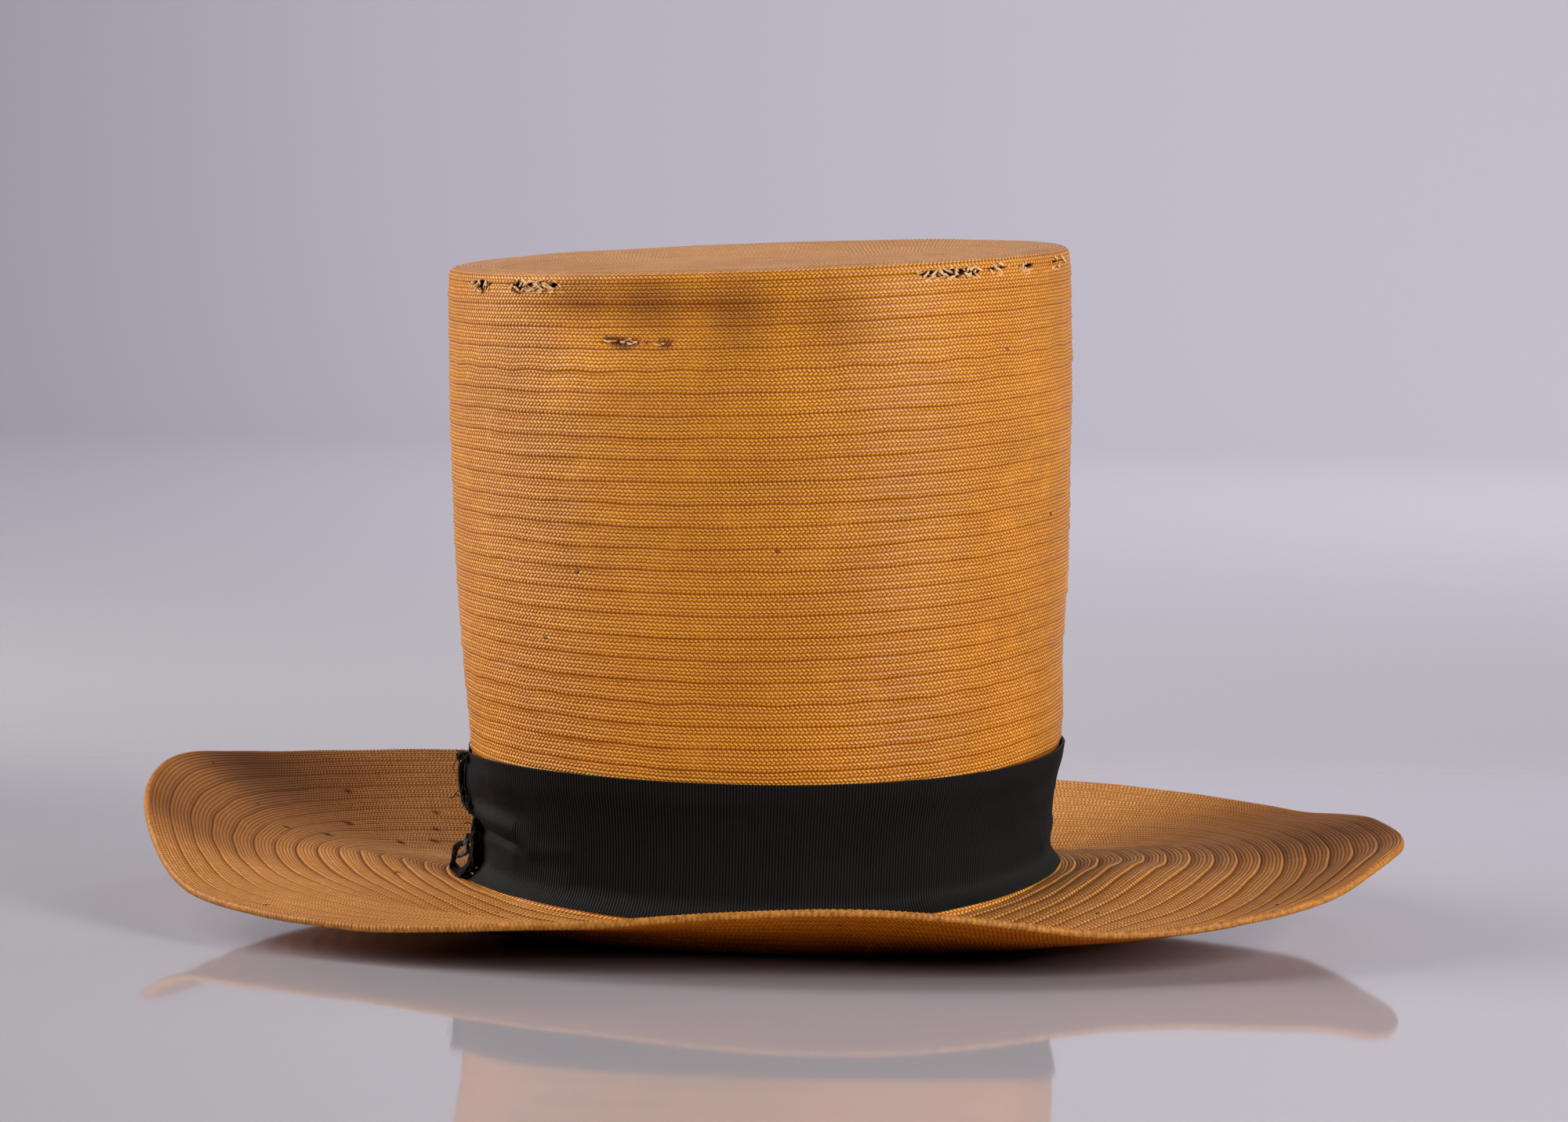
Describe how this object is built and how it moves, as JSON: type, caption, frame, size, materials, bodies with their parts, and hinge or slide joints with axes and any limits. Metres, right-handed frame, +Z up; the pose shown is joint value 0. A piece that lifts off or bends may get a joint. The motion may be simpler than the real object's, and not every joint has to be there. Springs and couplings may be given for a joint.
{
  "type": "straw top hat",
  "caption": "Tall oval straw top hat of sewn braid, with a flat dished tip, a wide curled brim and a ribbon band, open below for the head.",
  "frame": {"origin": "on the table that the brim rests on, under the middle of the brim's oval", "axes": "+X along the head and the brim's long axis, to the right seen from the near side; +Y across the head, away from the near side; +Z up from the table towards the tip"},
  "size_m": [0.4124, 0.3728, 0.223],
  "materials": {
    "straw_braid": "satin",
    "tip_straw": "satin",
    "black_ribbon": "matte",
    "lining_cloth": "matte"
  },
  "bodies": {
    "root": {"crown_side": "straw_braid", "crown_tip": "tip_straw", "brim": "straw_braid", "brim_edge": "straw_braid", "hat_band": "black_ribbon", "band_frayed_end": "black_ribbon", "tip_lining_left": "lining_cloth", "tip_lining_right": "lining_cloth"}
  },
  "joints": []
}
